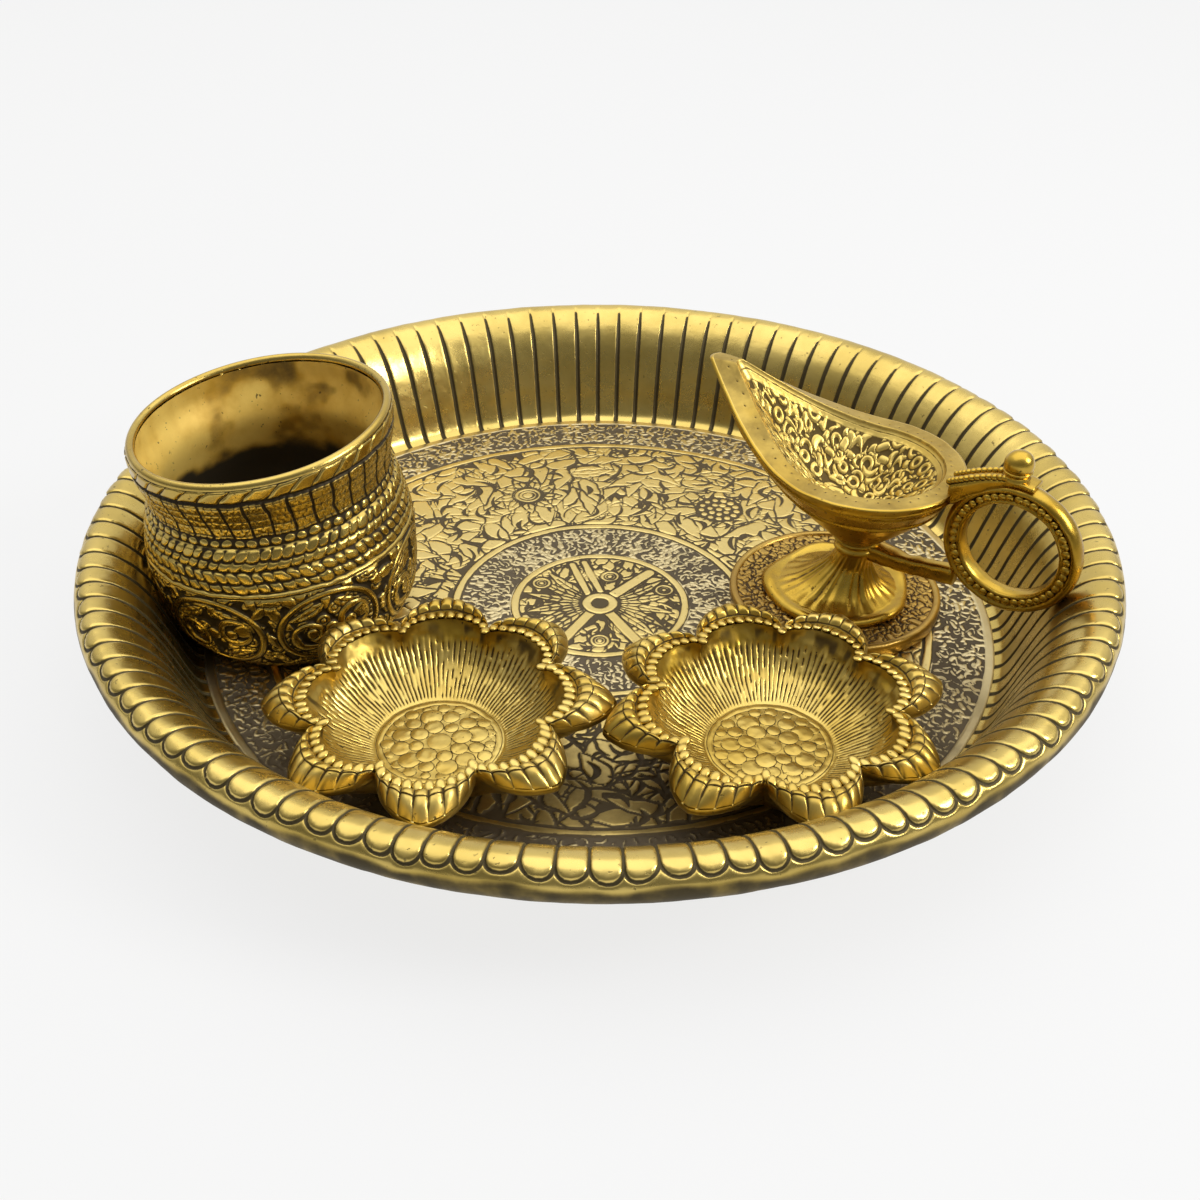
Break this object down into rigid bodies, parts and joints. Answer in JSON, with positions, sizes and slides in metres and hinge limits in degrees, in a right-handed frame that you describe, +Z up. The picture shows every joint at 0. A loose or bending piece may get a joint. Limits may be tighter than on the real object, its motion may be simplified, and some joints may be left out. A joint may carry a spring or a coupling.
{
  "type": "puja thali",
  "caption": "Round fluted brass worship plate with an embossed floor, holding a lift-off water pot, lotus-shaped cups and a spouted oil lamp with a ring handle.",
  "frame": {"origin": "centre of the plate's underside, on the surface the plate stands on", "axes": "+Z up, +Y away from the person facing the set, +X to that person's right"},
  "size_m": [0.28, 0.28, 0.0683],
  "materials": {
    "plate_brass": "antique polished with dark grooves",
    "pot_brass": "antique polished",
    "cup_brass": "polished cast",
    "lamp_brass": "polished cast",
    "disc_bronze": "coppery cast",
    "screw_brass": "plain turned"
  },
  "bodies": {
    "thali": {"thali_plate": "plate_brass"},
    "kalash": {"kalash_pot": "pot_brass"},
    "left_lotus": {"lotus_cup_left": "cup_brass"},
    "right_lotus": {"lotus_cup_right": "cup_brass"},
    "lamp": {"lamp_base_disc": "disc_bronze", "lamp_stem": "lamp_brass", "lamp_bowl": "lamp_brass", "lamp_screw": "screw_brass", "handle_ring": "lamp_brass", "handle_bracket": "lamp_brass", "handle_strut": "lamp_brass", "thumb_ball": "lamp_brass"}
  },
  "joints": [
    {"name": "kalash_lift", "type": "slide", "parent": "thali", "child": "kalash", "axis": [0, 0, 1], "range_m": [0, 0.06]},
    {"name": "left_lotus_lift", "type": "slide", "parent": "thali", "child": "left_lotus", "axis": [0, 0, 1], "range_m": [0, 0.06]},
    {"name": "right_lotus_lift", "type": "slide", "parent": "thali", "child": "right_lotus", "axis": [0, 0, 1], "range_m": [0, 0.06]},
    {"name": "lamp_lift", "type": "slide", "parent": "thali", "child": "lamp", "axis": [0, 0, 1], "range_m": [0, 0.06]}
  ]
}
